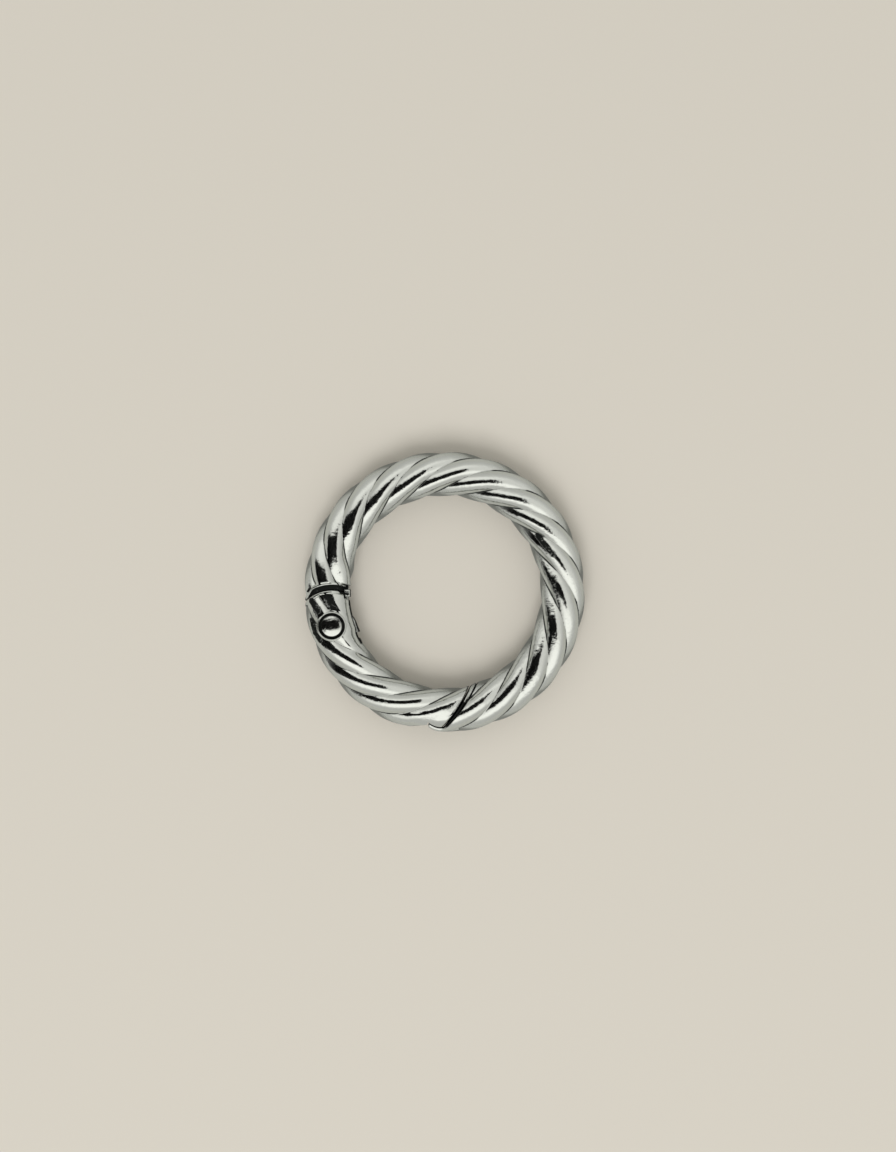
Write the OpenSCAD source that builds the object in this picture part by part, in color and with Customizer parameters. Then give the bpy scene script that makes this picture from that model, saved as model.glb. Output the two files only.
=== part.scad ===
// Spring gate ring: a cast ring with a rope twist. A quarter of it is a gate
// that swings inwards on a hinge rivet, and a small coil spring pushes it shut
// against a lip on the ring. The ring lies flat in XY with its centre at the
// origin, and the same face shows on both sides of the hinge.

/* [Ring] */
// Outer diameter over the strand crests
ring_d = 36; // [34:0.5:44]
// Diameter of the round section over the strand crests
section_d = 5.7; // [5.5:0.1:6.4]

/* [Rope twist] */
// Number of strands in the section
strands = 5; // [4:1:6]
// Angle round the ring from one groove to the next
groove_step_angle = 17.7; // [15:0.1:20]
// Depth of the grooves between the strands
groove_depth = 0.46; // [0.3:0.01:0.5]
// Angle round the ring at which the ring's grooves cross the top
ring_groove_angle = 278; // [265:0.5:285]
// Angle round the ring at which the gate's grooves cross the top
gate_groove_angle = 258; // [250:0.5:265]

/* [Hinge] */
// Angle round the ring of the hinge rivet
pivot_angle = 196.8; // [190:0.2:200]
// How far the rivet sits inside the centreline of the section
pivot_inset = 0.15; // [0:0.05:0.3]
// Radius of the gate's round tail about the rivet
tail_r = 4.55; // [4.3:0.05:4.8]
// Gap between the gate's tail and the ring
tail_gap = 0.7; // [0.3:0.05:0.8]
// Thickness of the tang that the ring carries between the gate's cheeks
tang_t = 1.8; // [1.5:0.1:2]
// Radius of the tang round the rivet
tang_r = 1.7; // [1.6:0.05:1.8]
// How far the tang stands inside the section's inner edge
tang_proud = 0.25; // [0.1:0.05:0.3]
// Reach of the tang's heel from the rivet towards the ring's centre
heel_reach = 3.05; // [2.9:0.05:3.2]
// Clearance between the tang and the slot of the gate
slot_gap = 0.1; // [0.08:0.01:0.15]
// Angle through which the gate opens
open_angle = 40; // [30:1:42]

/* [Rivet] */
// Diameter of the shank
shank_d = 1.8; // [1.5:0.05:1.9]
// Radial clearance of the shank in the tang
shank_gap = 0.05; // [0.03:0.01:0.08]
// Diameter of the two heads
head_d = 2.8; // [2.7:0.05:3]
// Thickness of a head
head_t = 0.5; // [0.4:0.05:0.55]
// How far a head's domed face rises above its edge
dome_rise = 0.2; // [0.1:0.05:0.3]
// Diameter of the sunk seat round a head
seat_d = 3.3; // [3.2:0.05:3.5]
// Height of the seat's floor above the ring's middle plane
seat_z = 2.2; // [2.1:0.05:2.25]
// Wall of the boss round the seat
boss_wall = 0.25; // [0.2:0.05:0.35]
// Height of the boss's face above the ring's middle plane
boss_z = 2.75; // [2.65:0.05:2.8]

/* [Nose] */
// Distance of the nose's end face from the rivet
nose_r = 19.1; // [18.9:0.05:19.3]
// Gap between the nose and the ring
nose_gap = 0.2; // [0.1:0.05:0.3]
// Thickness of the ring's lip that stops the gate
lip_t = 0.55; // [0.45:0.05:0.7]
// Gap between the lip and the gate
lip_gap = 0.1; // [0.08:0.02:0.16]
// How far the lip reaches past the ring's end
lip_reach = 1.5; // [1.2:0.1:2]

/* [Spring] */
// Outer diameter of the spring
spring_d = 1.3; // [1.1:0.05:1.4]
// Diameter of its wire
wire_d = 0.25; // [0.2:0.01:0.28]
// Number of turns
spring_turns = 9; // [7:1:10]
// Distance of the spring's axis from the rivet, towards the ring's centre
spring_arm = 1.3; // [1.15:0.05:1.35]
// Length of the spring with the gate shut
spring_l = 5.4; // [5:0.1:5.6]
// Clearance round the spring in its bore
spring_gap = 0.1; // [0.05:0.01:0.12]

/* [Hidden] */
$fn = 96;
step_angle = 4;                 // between two sections of the rope
points_per_strand = 7;          // round the section, from groove to groove
over = 0.3;                     // how far a cut runs past what it cuts
long = 2 * section_d;           // taller than the ring
section_r = section_d / 2;
centre_r = ring_d / 2 - section_r;
strand_angle = 360 / strands;
groove_r = section_r - groove_depth;
// A strand's crown is an arc that meets its neighbours in the grooves.
crown_offset = (pow(section_r, 2) - pow(groove_r, 2))
    / (2 * (section_r - groove_r * cos(strand_angle / 2)));
crown_r = section_r - crown_offset;
section_points = strands * points_per_strand;
pivot_r = centre_r - pivot_inset;
ring_seat_r = tail_r + tail_gap;
nose_seat_r = nose_r + nose_gap;
lip_r = ring_d / 2 - lip_t;
slot_t = tang_t + 2 * slot_gap;
heel_r = norm([heel_reach, tang_r]);
bore_r = spring_d / 2 + spring_gap;
spring_end_gap = 0.03;          // between the spring and what it bears on
spring_start = tang_r + spring_end_gap;
bore_end = spring_start + spring_l + spring_end_gap;
tang_root = 0.3;                // overlap of the tang with the ring
tang_outer_r = pivot_r + tang_r;
tang_inner_r = centre_r - section_r - tang_proud;
lip_sunk = 0.1;                 // how far the lip lies inside the crests
spare_angle = 3;                // how far a rope runs past the cut that ends it
// Angles round the ring, from the rivet, of what ends a piece
lip_from = pivot_angle + reach_angle(ring_d / 2, nose_seat_r) - arc_angle(lip_reach);
lip_to = pivot_angle + reach_angle(lip_r, nose_seat_r) + spare_angle;
body_from = pivot_angle + reach_angle(ring_d / 2, nose_seat_r) - spare_angle;
body_to = 360 + pivot_angle - reach_angle(ring_d / 2, ring_seat_r) + spare_angle;
gate_from = pivot_angle - reach_angle(pivot_r, tail_r) - 2 * spare_angle;
gate_to = pivot_angle + reach_angle(centre_r - section_r, nose_r) + 2 * spare_angle;
edge = 0.06;                    // chamfer on the rivet's heads
dome_steps = 8;
dome_r = head_d / 2 - edge;
dome_arc_r = (pow(dome_r, 2) + pow(dome_rise, 2)) / (2 * dome_rise);

// Angle at the ring's centre between the rivet and a point at radius r that
// lies d from the rivet
function reach_angle(r, d) =
    acos((pow(pivot_r, 2) + pow(r, 2) - pow(d, 2)) / (2 * pivot_r * r));

// Angle at the ring's centre of an arc of length l on the ring's outside
function arc_angle(l) = 360 * l / (PI * ring_d);

// Distance from the section's centre to the rope's surface, at an angle
// from the crest of a strand
function crown(f) = crown_offset * cos(f)
    + sqrt(pow(crown_r, 2) - pow(crown_offset * sin(f), 2));

// Point i of the rope's section at an angle round the ring
function rope_point(at, i, groove_at) =
    let (
        phi = 90 + (at - groove_at) * strand_angle / groove_step_angle + i * 360 / section_points,
        f = strand_angle * ((i % points_per_strand) / points_per_strand - 0.5),
        d = crown(f),
        r = centre_r + d * cos(phi)
    )
    [r * cos(at), r * sin(at), d * sin(phi)];

// Faces of a tube of rings of n points, closed by its first and last ring
function tube_faces(rings, n) = concat(
    [[for (i = [n - 1:-1:0]) i]],
    [for (s = [0:rings - 2]) for (i = [0:n - 1])
        [s * n + i, s * n + (i + 1) % n, (s + 1) * n + (i + 1) % n]],
    [for (s = [0:rings - 2]) for (i = [0:n - 1])
        [s * n + i, (s + 1) * n + (i + 1) % n, (s + 1) * n + i]],
    [[for (i = [0:n - 1]) (rings - 1) * n + i]]
);

// A stretch of rope between two angles round the ring
module rope(from, to, groove_at) {
    steps = ceil((to - from) / step_angle);
    points = [for (s = [0:steps]) for (i = [0:section_points - 1])
        rope_point(from + (to - from) * s / steps, i, groove_at)];
    polyhedron(points, tube_faces(steps + 1, section_points), convexity = 10);
}

// Places what follows at the rivet, with +X towards the ring's centre and +Y
// towards the ring's end at the hinge
module at_pivot() {
    rotate(pivot_angle - 180) translate([-pivot_r, 0, 0]) children();
}

// An upright disc of radius r about the Z axis, from -h/2 to h/2
module disc(r, h) {
    cylinder(r = r, h = h, center = true);
}

// The tang: a plate round the rivet with a heel for the spring to push on
module tang() {
    at_pivot() linear_extrude(tang_t, center = true) intersection() {
        union() {
            circle(tang_r);
            translate([-tang_r, 0]) square([tang_r + long, long]);
            translate([0, -tang_r]) square([heel_reach, tang_r + long]);
        }
        circle(ring_seat_r + tang_root);
        translate([pivot_r, 0]) difference() {
            circle(tang_outer_r, $fn = 180);
            circle(tang_inner_r, $fn = 180);
        }
    }
}

// Where the gate's nose lies: within reach of the rivet, on the nose's side
module nose_space() {
    intersection() {
        at_pivot() disc(nose_seat_r, long);
        translate([-section_d, -ring_d, -long / 2]) cube([ring_d, ring_d, long]);
    }
}

// The lip that the gate's nose shuts against: the outer side of the section,
// carried on past the ring's end
module lip() {
    rotate(lip_from) rotate_extrude(angle = lip_to - lip_from, $fn = 180) intersection() {
        translate([centre_r, 0]) circle(section_r - lip_sunk);
        translate([lip_r, -section_r]) square([section_d, section_d]);
    }
}

module ring_body() {
    color("silver") difference() {
        union() {
            difference() {
                rope(body_from, body_to, ring_groove_angle);
                at_pivot() disc(ring_seat_r, long);
                nose_space();
            }
            tang();
            lip();
        }
        at_pivot() disc(shank_d / 2 + shank_gap, long);
    }
}

// The slot that the tang turns in, seen from above: round the rivet, open to
// the tail and the ring's centre, and ended where the opened gate's heel lies
module slot_outline() {
    circle(tang_r + slot_gap);
    translate([-tang_r - slot_gap, 0]) square([long, long]);
    intersection() {
        circle(heel_r + slot_gap);
        rotate(-open_angle) translate([0, -tang_r - slot_gap]) square([long, long]);
    }
}

// Everything past the tail's round end
module past_tail() {
    difference() {
        translate([-long, 0, -long / 2]) cube([2 * long, 2 * long, long]);
        disc(tail_r, long + 2 * over);
    }
}

// The step in the nose that the lip fits
module lip_step() {
    difference() {
        rotate(lip_from - arc_angle(lip_gap)) translate([0, 0, -long / 2])
            cube([ring_d, ring_d, long]);
        disc(lip_r - lip_gap, long + 2 * over);
    }
}

module gate() {
    color("silver") difference() {
        union() {
            intersection() {
                rope(gate_from, gate_to, gate_groove_angle);
                at_pivot() disc(nose_r, long);
            }
            at_pivot() disc(seat_d / 2 + boss_wall, 2 * boss_z);
        }
        lip_step();
        at_pivot() {
            past_tail();
            linear_extrude(slot_t, center = true) slot_outline();
            for (side = [-1, 1])
                translate([0, 0, side * (seat_z + long / 2)]) disc(seat_d / 2, long);
            disc(shank_d / 2, long);
            translate([spring_arm, -bore_end, 0]) rotate([-90, 0, 0])
                cylinder(r = bore_r, h = bore_end - tang_r);
        }
    }
}

// How far the dome has fallen from its top at a distance from the rivet's axis
function dome_fall(r) = dome_arc_r - sqrt(pow(dome_arc_r, 2) - pow(r, 2));

// Half of the rivet's outline, from its axis outwards, above the middle plane
function head_outline() = concat([
    [0, 0],
    [shank_d / 2, 0],
    [shank_d / 2, seat_z],
    [head_d / 2, seat_z],
    [head_d / 2, seat_z + head_t - dome_rise - edge]],
    [for (i = [dome_steps:-1:0])
        let (r = dome_r * i / dome_steps) [r, seat_z + head_t - dome_fall(r)]]
);

module hinge_rivet() {
    color("silver") at_pivot() for (side = [0, 1])
        mirror([0, 0, side]) rotate_extrude() polygon(head_outline());
}

// Height of the spring's wire after t turns: its end turns lie closed
function spring_rise(t) =
    let (open_pitch = (spring_l - 3 * wire_d) / (spring_turns - 2))
    t < 1 ? t * wire_d
    : t > spring_turns - 1 ? spring_l - wire_d - (spring_turns - t) * wire_d
    : wire_d + (t - 1) * open_pitch;

module gate_spring() {
    steps_per_turn = 16;
    sides = 6;
    coil_r = (spring_d - wire_d) / 2;
    steps = spring_turns * steps_per_turn;
    points = [for (s = [0:steps]) for (i = [0:sides - 1])
        let (
            a = s * 360 / steps_per_turn,
            b = -i * 360 / sides,
            r = coil_r + wire_d / 2 * cos(b)
        )
        [r * cos(a), r * sin(a), wire_d / 2 * (1 + sin(b)) + spring_rise(s / steps_per_turn)]];
    color("gray") at_pivot() translate([spring_arm, -spring_start, 0]) rotate([90, 0, 0])
        polyhedron(points, tube_faces(steps + 1, sides), convexity = 10);
}

ring_body();
gate();
hinge_rivet();
gate_spring();
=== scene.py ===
import math

import bpy
import numpy as np
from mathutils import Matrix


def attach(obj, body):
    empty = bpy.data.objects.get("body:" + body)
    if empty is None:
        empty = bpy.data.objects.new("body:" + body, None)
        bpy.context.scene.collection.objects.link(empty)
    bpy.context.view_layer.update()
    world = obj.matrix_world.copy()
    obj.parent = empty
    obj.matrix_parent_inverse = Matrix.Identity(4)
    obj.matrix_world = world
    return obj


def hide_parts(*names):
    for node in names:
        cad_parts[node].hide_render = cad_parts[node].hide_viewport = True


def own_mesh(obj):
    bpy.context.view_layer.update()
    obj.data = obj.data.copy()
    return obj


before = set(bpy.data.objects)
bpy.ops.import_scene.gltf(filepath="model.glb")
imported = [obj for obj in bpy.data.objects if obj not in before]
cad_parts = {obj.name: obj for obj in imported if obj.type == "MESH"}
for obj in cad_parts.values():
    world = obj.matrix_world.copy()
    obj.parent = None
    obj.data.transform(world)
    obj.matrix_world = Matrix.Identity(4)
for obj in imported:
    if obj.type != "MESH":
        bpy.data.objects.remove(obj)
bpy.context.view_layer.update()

mm = 0.001
cutHalf = 4 * mm      # half the height of the cutters, which go right through the section

# the twist that the ring and its gate share

twist = {
    "centreRadius": 15.15 * mm,
    "sectionRadius": 2.85 * mm,
    "strands": 5,
    "grooveDepth": 0.47 * mm,
    "grooveRound": 0.03,          # share of a strand over which the groove's bottom is rounded
    "rowsPerStrand": 38,
    "strandWidth": 2.7 * mm,      # square to the grooves
    "rivetAngle": 196.8,          # degrees round the ring
    "rivetRadius": 15.0 * mm,     # of the rivet from the ring's centre
    "squareOver": 0.15 * mm,      # across which a rounded edge becomes square, where a lip goes on from it
}


def rivetPlace():
    # the rivet seen from above: its radius, at its angle round the ring
    a = math.radians(twist["rivetAngle"])
    return np.array([twist["rivetRadius"] * math.cos(a), twist["rivetRadius"] * math.sin(a)])


def smoothStep(x):
    # 0 below 0, 1 above 1, and between them three times the square less twice the cube
    x = np.clip(x, 0, 1)
    return x * x * (3 - 2 * x)


def strandRows():
    # places across a strand from -0.5 to 0.5, for every strand in turn, closer together by the grooves
    t = np.arange(twist["rowsPerStrand"]) / twist["rowsPerStrand"]
    across = 0.5 * (t - 0.5) - 0.25 * np.cos(math.pi * t)
    turn = np.arange(twist["strands"])[:, None] + across[None, :] + 0.5
    return np.tile(across, twist["strands"]), (turn * 2 * math.pi / twist["strands"]).ravel()


def crownRadius(across):
    # a strand's crown is an arc, off centre in the section, that meets its neighbours in the grooves
    a, half = twist["sectionRadius"], math.pi / twist["strands"]
    g = a - twist["grooveDepth"]
    offset = (a * a - g * g) / (2 * (a - g * math.cos(half)))
    soft = twist["grooveRound"]
    edge = np.abs(across)
    rounded = 0.5 - soft + (edge - 0.5 + soft) / 2 * (1 + (0.5 - edge) / soft)
    f = np.where(edge > 0.5 - soft, rounded, edge) * 2 * half
    return offset * np.cos(f) + np.sqrt((a - offset) ** 2 - (offset * np.sin(f)) ** 2)


def twistAngle(casting, angle):
    # how far the strands have turned round the section at an angle round the ring; a hand-cut
    # pattern's grooves wander a little to either side of an even twist
    once, twice = casting["wander"]
    wander = (once[0] * np.cos(angle) + once[1] * np.sin(angle)
              + twice[0] * np.cos(2 * angle) + twice[1] * np.sin(2 * angle))
    fromGroove = angle - np.radians(casting["grooveAt"] + wander)
    return math.pi / 2 + fromGroove * 360 / twist["strands"] / casting["grooveStep"]


def ropePoint(casting, turn, radius, angle):
    # the point at that radius from the section's centre, on a ring of the centreline's radius
    s = turn + twistAngle(casting, angle)
    r = twist["centreRadius"] + radius * np.cos(s)
    return np.stack([r * np.cos(angle), r * np.sin(angle), radius * np.sin(s)], -1)


def sideShare(side, outwards, angle):
    # how far a change on the section's inner (-1) or outer (1) side counts, at an angle round the ring
    along = smoothStep((np.degrees(angle) - side["at"]) / side["fade"])
    return along * smoothStep((side["side"] * outwards - side["from"]) / side["over"])


def surfaceRadius(casting, across, turn, angle):
    # the strand's crown, made plain on the sides that have no strands, and drawn in or out
    radius, outwards = crownRadius(across), np.cos(turn + twistAngle(casting, angle))
    for side in casting["plainSides"]:
        radius = radius + sideShare(side, outwards, angle) * (side["radius"] - radius)
    for side in casting["bulges"]:
        radius = radius + sideShare(side, outwards, angle) * side["by"]
    return radius


def angleAtReach(casting, turn, radius, reach, side):
    # the angle round the ring at which a row comes to a distance from the rivet, by repeated substitution:
    # the cosine rule gives the angle from the row's distance to the ring's centre, which itself turns with
    # it. Each step goes six tenths of the way, so that it settles
    h = twist["rivetRadius"]
    angle = np.full(np.broadcast(turn, radius, reach).shape, math.radians(twist["rivetAngle"]))
    if side == "tail of the ring":
        angle = angle + 2 * math.pi
    base, sign = angle, -1 if side.startswith("tail") else 1
    for _ in range(60):
        r = twist["centreRadius"] + radius * np.cos(turn + twistAngle(casting, angle))
        cosine = (h * h + r * r - reach * reach) / (2 * h * r)
        angle = 0.4 * angle + 0.6 * (base + sign * np.arccos(np.clip(cosine, -1, 1)))
    return angle


def putMesh(name, points, faces):
    # a piece in the scene from its points and its faces
    mesh = bpy.data.meshes.new(name)
    mesh.from_pydata(points.tolist(), [], faces)
    mesh.update()
    piece = bpy.data.objects.new(name, mesh)
    bpy.context.scene.collection.objects.link(piece)
    return piece


def cappedGrid(name, points, poles):
    # a tube from a grid of points, whose rows run round and close, shut at each end by a fan to its pole
    columns, rows = points.shape[:2]
    i, j = np.arange(columns - 1)[:, None], np.arange(rows)[None, :]
    nextJ = (j + 1) % rows
    quads = np.stack([i * rows + j, (i + 1) * rows + j, (i + 1) * rows + nextJ, i * rows + nextJ], -1)
    j, nextJ, last = j[0], nextJ[0], (columns - 1) * rows
    firstFan = np.stack([np.full(rows, columns * rows), j, nextJ], -1)
    lastFan = np.stack([np.full(rows, columns * rows + 1), last + nextJ, last + j], -1)
    faces = quads.reshape(-1, 4).tolist() + firstFan.tolist() + lastFan.tolist()
    return putMesh(name, np.vstack([points.reshape(-1, 3), poles]), faces)


# solids about the rivet are grids too, used as parts of a casting or as its cutters

def aboutRivet(x, y, z):
    # x runs from the rivet to the ring's centre, y towards the ring's end at the hinge
    a = math.radians(twist["rivetAngle"] - 180)
    c, s = math.cos(a), math.sin(a)
    place = rivetPlace()
    return np.stack([place[0] + x * c - y * s, place[1] + x * s + y * c, z + 0 * x], -1)


def outlineSolid(name, outline, profile):
    # an outline seen from above, given by its reach in every direction, stacked in layers from the top
    # down: each layer is the outline drawn in by an inset, at a height
    t = np.linspace(0, 2 * math.pi, len(outline), endpoint=False)[None, :]
    inset, z = (np.array(v)[:, None] for v in zip(*profile))
    reach = outline[None, :] - inset
    points = aboutRivet(reach * np.cos(t), reach * np.sin(t), z)
    poles = aboutRivet(np.zeros(2), np.zeros(2), np.array([profile[0][1], profile[-1][1]]))
    return cappedGrid(name, points, poles)


def turned(name, profile, steps=128):
    # radii and heights from the top down, turned about the rivet's axis
    return outlineSolid(name, np.zeros(steps), [(-r, z) for r, z in profile])


def bothFaces(profile):
    # a profile of the upper half, carried on with its mirror image below
    return profile + [(r, -z) for r, z in profile[::-1]]


def edgeReach(directions, normal, distance):
    # how far a ray goes, in each direction, before it meets a straight edge at a distance along its
    # normal: that distance over the cosine between them, or a metre where it never meets the edge
    facing = np.cos(directions - normal)
    return np.where(facing > 1e-6, distance / np.maximum(facing, 1e-6), 1)


def circleReach(directions, along, radius, inside=True):
    # how far a ray from the rivet goes before it meets a circle about a point on the x axis: its far side
    # from inside, its near side from outside, or a metre where it misses
    c, s = np.cos(directions), np.sin(directions)
    root = np.sqrt(np.maximum(radius ** 2 - (along * s) ** 2, 0))
    near = along * c - root
    return along * c + root if inside else np.where((radius > along * np.abs(s)) & (near > 0), near, 1)


def combine(piece, tool, operation):
    # joins a tool's solid to a piece or cuts it away, and drops the tool
    modifier = piece.modifiers.new(operation, "BOOLEAN")
    modifier.object, modifier.operation, modifier.solver = tool, operation, "MANIFOLD"
    solid = bpy.data.meshes.new_from_object(piece.evaluated_get(bpy.context.evaluated_depsgraph_get()))
    piece.modifiers.clear()
    piece.data = solid
    bpy.data.objects.remove(tool)


def scoreLine(end, out):
    # how far a scored line lies from the edge: less and less from the section's inside to its outside
    share = np.clip((out - end["scoreFrom"]) / end["scoreOver"], 0, 1)
    return end["scoreInside"] + share * (end["scoreOutside"] - end["scoreInside"])


def shoulderWidth(casting, across, turn, side, end):
    # the shoulder narrows towards the section's outside
    if "shoulder" not in end:
        return 0
    radius = crownRadius(across)
    angle = angleAtReach(casting, turn, radius, end["reach"], side)
    out = twist["centreRadius"] + radius * np.cos(turn + twistAngle(casting, angle))
    return end["shoulder"] * (1 - smoothStep((out - end["shoulderFrom"]) / end["shoulderOver"]))


def endColumns(casting, across, turn, side, away, end):
    # a cap on a cylinder about the rivet, a low shoulder if there is one, a rounded edge, a plain rim and
    # the strands, whose columns lie closer together by the edge
    shoulder = shoulderWidth(casting, across, turn, side, end)
    start = end["reach"] + away * shoulder
    plain = twist["sectionRadius"] - end["rimSunk"]
    f = np.linspace(0, 1, end["filletSteps"] + 1) * math.pi / 2
    run = end["fillet"] + (end["run"] - end["fillet"]) * np.linspace(0, 1, end["runSteps"] + 1)[1:] ** 1.3
    d = np.concatenate([end["fillet"] * (1 - np.cos(f)), run])[:, None]
    drop = np.concatenate([end["fillet"] * (1 - np.sin(f)), np.zeros(end["runSteps"])])[:, None]
    fade = 1 - smoothStep((d - end["rim"]) / end["rimFade"])
    radius = crownRadius(across) + 0 * d
    # the angle follows from the radius and the radius from the angle, so they are worked out in turn
    for _ in range(3):
        angle = angleAtReach(casting, turn, radius, start + away * d, side)
        out = twist["centreRadius"] + radius[0] * np.cos(turn + twistAngle(casting, angle[0]))
        square = smoothStep((out - end["squareFrom"]) / twist["squareOver"])
        radius = surfaceRadius(casting, across, turn, angle)
        radius = radius + fade * (plain - radius) - drop * (1 - square)
        if "score" in end:
            inScore = np.clip(1 - np.abs(d - scoreLine(end, out)) / end["scoreHalf"], 0, 1)
            radius = radius - end["score"] * inScore * (1 - square)
    columns = [ropePoint(casting, turn, radius, angleAtReach(casting, turn, radius, start + away * d, side))]
    edge = radius[0]
    if "shoulder" in end:
        edge = np.full(turn.shape, end["shoulderRadius"])
        along = end["reach"] + away * np.linspace(0, 1, 7)[:, None] * shoulder
        columns.insert(0, ropePoint(casting, turn, edge, angleAtReach(casting, turn, edge, along, side)))
    cap = np.linspace(0, 1, end["capSteps"] + 1)[1:-1, None] * edge
    columns.insert(0, ropePoint(casting, turn, cap, angleAtReach(casting, turn, cap, end["reach"], side)))
    middle = np.zeros(1)
    pole = ropePoint(casting, middle, middle, angleAtReach(casting, middle, middle, end["reach"], side))[0]
    return np.concatenate(columns), angle[-1], pole


def ropeBetween(name, casting, sides, aways):
    # a row runs from its own end to its own end, so every strand meets the two cylinders exactly
    across, turn = strandRows()
    made = [endColumns(casting, across, turn, side, away, end)
            for end, side, away in zip((casting["first"], casting["last"]), sides, aways)]
    (first, fromAngle, firstPole), (last, toAngle, lastPole) = made
    share = np.linspace(0, 1, casting["columns"] + 1)[1:-1, None]
    angle = fromAngle + share * (toAngle - fromAngle)
    middle = ropePoint(casting, turn, surfaceRadius(casting, across, turn, angle), angle)
    return cappedGrid(name, np.concatenate([first, middle, last[::-1]]), np.stack([firstPole, lastPole]))


# the hinge, whose sizes the ring, the gate, the rivet and the spring share

hinge = {
    "tangRadius": 1.7 * mm, "tangHalf": 0.9 * mm, "tangSunk": 0.05 * mm, "tangEdge": 0.3 * mm,
    "tangLength": 5.5 * mm,
    "heelReach": 3.3 * mm, "heelProud": 0.38 * mm, "heelFrom": math.radians(22), "heelFade": 0.5,
    "gap": 0.1 * mm, "openAngle": 40.0, "slotLength": 8 * mm,
    "shank": 0.9 * mm, "shankGap": 0.05 * mm,
    "seat": 1.68 * mm, "seatFloor": 2.2 * mm,
    "seatMouth": 0.06 * mm, "seatBevelFrom": 2.78 * mm, "seatBevelTo": 2.7 * mm,
    "boss": [(1.2 * mm, 2.82 * mm), (1.66 * mm, 2.8 * mm), (1.8 * mm, 2.74 * mm), (1.88 * mm, 2.66 * mm),
             (1.91 * mm, 2.5 * mm)],
    "springAside": 1.3 * mm, "springBore": 0.75 * mm, "boreEnd": 7.2 * mm,
    # the block on the tang that fills the seam's inner end, and the notch for it in the gate: corners in mm
    "block": [(-12.86, 0.36), (-12.09, 0.37), (-12.06, -0.64), (-12.71, -0.64)],
    "blockLayers": [(0.5, 1.35 * mm), (0.72, 1.32 * mm), (0.9, 1.23 * mm), (1.0, 1.05 * mm)],
    "notch": [(-12.98, 1.5), (-11.3, 1.5), (-11.3, -1.5), (-12.83, -0.78)],
}

# the cast ring

ringBody = {
    "grooveAt": 277.357, "grooveStep": 17.797, "wander": ((-0.127, 0.597), (0.542, 0.458)),
    "plainSides": [],
    # the tail's inner edge is a little fuller
    "bulges": [{"by": 0.34 * mm, "side": -1, "from": 0.45, "over": 0.45, "at": 518.0, "fade": 10.0}],
    "columns": 350,
    # its two ends. An edge isn't rounded outside squareFrom, which is a metre where there is no lip
    "first": {"reach": 19.3 * mm, "fillet": 0.05 * mm, "filletSteps": 3, "rim": 0.1 * mm, "rimFade": 0.2 * mm,
              "rimSunk": 0.12 * mm, "run": 1.0 * mm, "runSteps": 34, "capSteps": 6, "squareFrom": 17.3 * mm,
              "score": 0.2 * mm, "scoreInside": 0.58 * mm, "scoreOutside": 0.14 * mm, "scoreHalf": 0.12 * mm,
              "scoreFrom": 12.5 * mm, "scoreOver": 5.0 * mm},
    "last": {"reach": 4.66 * mm, "fillet": 0.16 * mm, "filletSteps": 5, "rim": 0.24 * mm, "rimFade": 0.2 * mm,
             "rimSunk": 0.1 * mm, "run": 1.0 * mm, "runSteps": 16, "capSteps": 6, "squareFrom": 1,
             "shoulder": 0.59 * mm, "shoulderRadius": 2.45 * mm,
             "shoulderFrom": 16.4 * mm, "shoulderOver": 1.5 * mm},
    # the lip goes from its tip to its root in the ring, in degrees round the ring. It curls in towards the
    # tip, where it keeps lipTip of its height
    "lipFrom": 262.95, "lipInto": 276.0, "lipInside": 17.4 * mm, "lipCurl": 0.5 * mm, "lipCurlOver": 5.5,
    "lipSunk": 0.1 * mm, "lipColumns": 60, "lipRows": 40, "lipTip": 0.75,
    "lipWidth": 0.43 * mm, "lipHalf": 1.6 * mm, "lipBead": 268.0, "lipBeadFade": 4.0,
    "lipPower": 6,                # of the bead's superellipse
    # black marks painted on the top, in mm: from, to, half width and depth. They are painted reflections of
    # the black card overhead, and painted shade by the hinge and the seam
    "marksAbove": 0.3 * mm,
    "marks": [((-17.4, 0.13), (-17.14, 0.51), 0.14, 0.9), ((-12.62, -0.2), (-12.35, -0.28), 0.15, 0.9),
              ((-11.25, -4.0), (-10.87, -5.03), 0.16, 0.9), ((11.85, 7.2), (13.75, 4.8), 0.36, 0.9)],
}


def tangReach(directions):
    # the round about the rivet, carried on into the ring and out to the heel, within the section's two
    # edges. The heel stands proud of the section's inner edge
    h, p = hinge, twist
    toRing = np.where(np.sin(directions) >= 0, edgeReach(directions, math.pi, h["tangRadius"]), 0)
    heelEnd = edgeReach(directions, -math.pi / 2, h["tangRadius"])
    heelEnd = np.minimum(edgeReach(directions, 0, h["heelReach"]), heelEnd)
    toHeel = np.where(np.cos(directions) >= 0, heelEnd, 0)
    reach = np.maximum(np.maximum(toRing, toHeel), h["tangRadius"])
    fromInwards = np.where(directions > math.pi, directions - 2 * math.pi, directions)
    proud = h["heelProud"] * smoothStep((h["heelFrom"] - fromInwards) / h["heelFade"])
    edge = p["centreRadius"] - p["sectionRadius"] + h["tangSunk"] - proud
    inner = circleReach(directions, p["rivetRadius"], edge, False)
    outer = circleReach(directions, p["rivetRadius"], p["rivetRadius"] + h["tangRadius"])
    return np.minimum(np.minimum(reach, h["tangLength"]), np.minimum(inner, outer))


def lipInside(angle):
    # the lip's inner radius: it curls inwards towards its tip, by the square of the share of the curl
    # that is left. It goes on a little past the tip, for the gate's notch
    r = ringBody
    curl = np.clip(1 - (np.degrees(angle) - r["lipFrom"]) / r["lipCurlOver"], 0, 1.2)
    return r["lipInside"] - r["lipCurl"] * curl ** 2


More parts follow.
